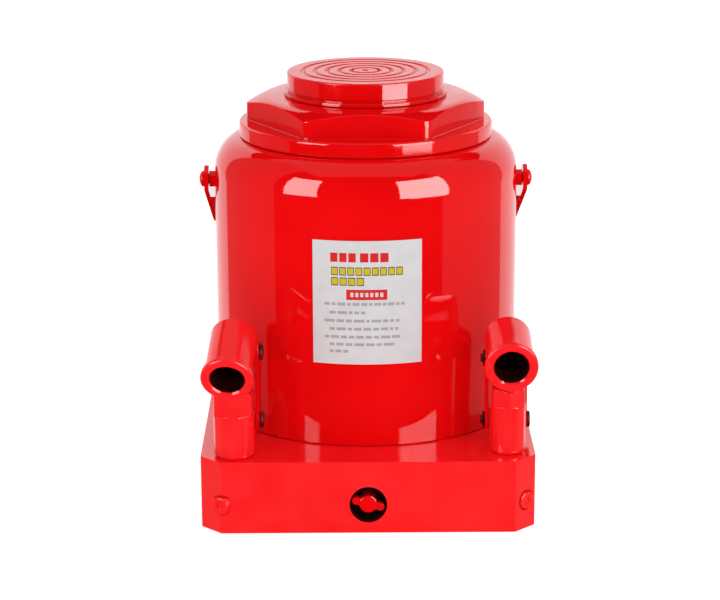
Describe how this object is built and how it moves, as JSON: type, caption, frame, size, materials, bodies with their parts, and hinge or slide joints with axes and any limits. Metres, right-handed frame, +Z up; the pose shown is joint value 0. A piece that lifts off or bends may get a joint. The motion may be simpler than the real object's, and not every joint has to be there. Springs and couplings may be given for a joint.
{
  "type": "bottle jack",
  "caption": "Hydraulic bottle jack with a round oil tank on a square base, hexagon cap nut, grooved saddle, carrying bail and hand pumps with tilted lever sockets.",
  "frame": {"origin": "middle of the base's underside, under the ram's axis", "axes": "+Z up along the ram; the release valve and the pumps face -Y; +X to the right seen from the front"},
  "size_m": [0.2704, 0.3185, 0.335],
  "materials": {
    "red_enamel": "thick glossy enamel",
    "cast_base_enamel": "glossy enamel over a casting",
    "ground_steel": "ground and polished",
    "dark_steel": "oiled dark steel with red overspray",
    "black_rubber": "matt",
    "copper_seal": "annealed",
    "label_paper": "printed sticker"
  },
  "bodies": {
    "jack_frame": {"base": "cast_base_enamel", "cylinder_gasket": "copper_seal", "cylinder": "ground_steel", "tank_gasket": "black_rubber", "tank": "red_enamel", "cap_gasket": "black_rubber", "cap_nut": "red_enamel", "wiper_seal": "black_rubber", "filler_plug": "black_rubber", "label": "label_paper", "bail_boss_right": "red_enamel", "bail_bolt_right": "dark_steel", "bail_boss_left": "red_enamel", "bail_bolt_left": "dark_steel", "release_ball": "ground_steel", "pump_body_left": "red_enamel", "plunger_seal_left": "black_rubber", "pump_washer_left": "copper_seal", "base_pin_left": "dark_steel", "base_clip_left": "dark_steel", "inlet_ball_left": "ground_steel", "outlet_ball_left": "ground_steel", "corner_plug_left": "red_enamel", "pump_body_right": "red_enamel", "plunger_seal_right": "black_rubber", "pump_washer_right": "copper_seal", "base_pin_right": "dark_steel", "base_clip_right": "dark_steel", "inlet_ball_right": "ground_steel", "outlet_ball_right": "ground_steel", "corner_plug_right": "red_enamel"},
    "ram": {"ram": "ground_steel", "piston_seal": "black_rubber", "piston_guide_ring": "copper_seal", "saddle": "red_enamel"},
    "bail": {"carrying_bail": "red_enamel"},
    "release_valve": {"release_valve": "red_enamel", "release_seal": "black_rubber"},
    "plunger_left": {"plunger_left": "ground_steel"},
    "socket_left": {"handle_socket_left": "red_enamel", "plunger_pin_left": "dark_steel", "plunger_clip_left": "dark_steel", "link_pin_left": "dark_steel", "link_clip_left": "dark_steel"},
    "link_left": {"link_inner_left": "red_enamel", "link_outer_left": "red_enamel"},
    "plunger_right": {"plunger_right": "ground_steel"},
    "socket_right": {"handle_socket_right": "red_enamel", "plunger_pin_right": "dark_steel", "plunger_clip_right": "dark_steel", "link_pin_right": "dark_steel", "link_clip_right": "dark_steel"},
    "link_right": {"link_inner_right": "red_enamel", "link_outer_right": "red_enamel"}
  },
  "joints": [
    {"name": "ram_lift", "type": "slide", "parent": "jack_frame", "child": "ram", "axis": [0, 0, 1], "range_m": [0, 0.18]},
    {"name": "bail_swing", "type": "hinge", "parent": "jack_frame", "child": "bail", "pos_m": [0, 0, 0.2465], "axis": [1, 0, 0], "range_deg": [0, 200]},
    {"name": "release_valve_turn", "type": "hinge", "parent": "jack_frame", "child": "release_valve", "pos_m": [0, -0.158, 0.023], "axis": [0, -1, 0], "range_deg": [0, 300]},
    {"name": "plunger_stroke_left", "type": "slide", "parent": "jack_frame", "child": "plunger_left", "axis": [0, 0, 1], "range_m": [0, 0.0269]},
    {"name": "socket_swing_left", "type": "hinge", "parent": "plunger_left", "child": "socket_left", "pos_m": [-0.1035, -0.1386, 0.1205], "axis": [-0.9962, 0.0872, 0], "range_deg": [0, 48.2]},
    {"name": "link_swing_left", "type": "hinge", "parent": "jack_frame", "child": "link_left", "pos_m": [-0.1008, -0.10772, 0.0767], "axis": [0.9962, -0.0872, 0], "range_deg": [0, 1.7]},
    {"name": "plunger_stroke_right", "type": "slide", "parent": "jack_frame", "child": "plunger_right", "axis": [0, 0, 1], "range_m": [0, 0.02037]},
    {"name": "socket_swing_right", "type": "hinge", "parent": "plunger_right", "child": "socket_right", "pos_m": [0.109, -0.133, 0.12], "axis": [-1, 0, 0], "range_deg": [0, 36.8]},
    {"name": "link_swing_right", "type": "hinge", "parent": "jack_frame", "child": "link_right", "pos_m": [0.109, -0.102, 0.0737], "axis": [1, 0, 0], "range_deg": [0, 4.5]}
  ],
  "couplings": [
    {"joint": "socket_swing_left", "follows": "plunger_stroke_left", "rad_per_m": 31.143},
    {"joint": "link_swing_left", "follows": "plunger_stroke_left", "rad_per_m": 0.9732},
    {"joint": "socket_swing_right", "follows": "plunger_stroke_right", "rad_per_m": 31.359},
    {"joint": "link_swing_right", "follows": "plunger_stroke_right", "rad_per_m": 3.6843}
  ]
}
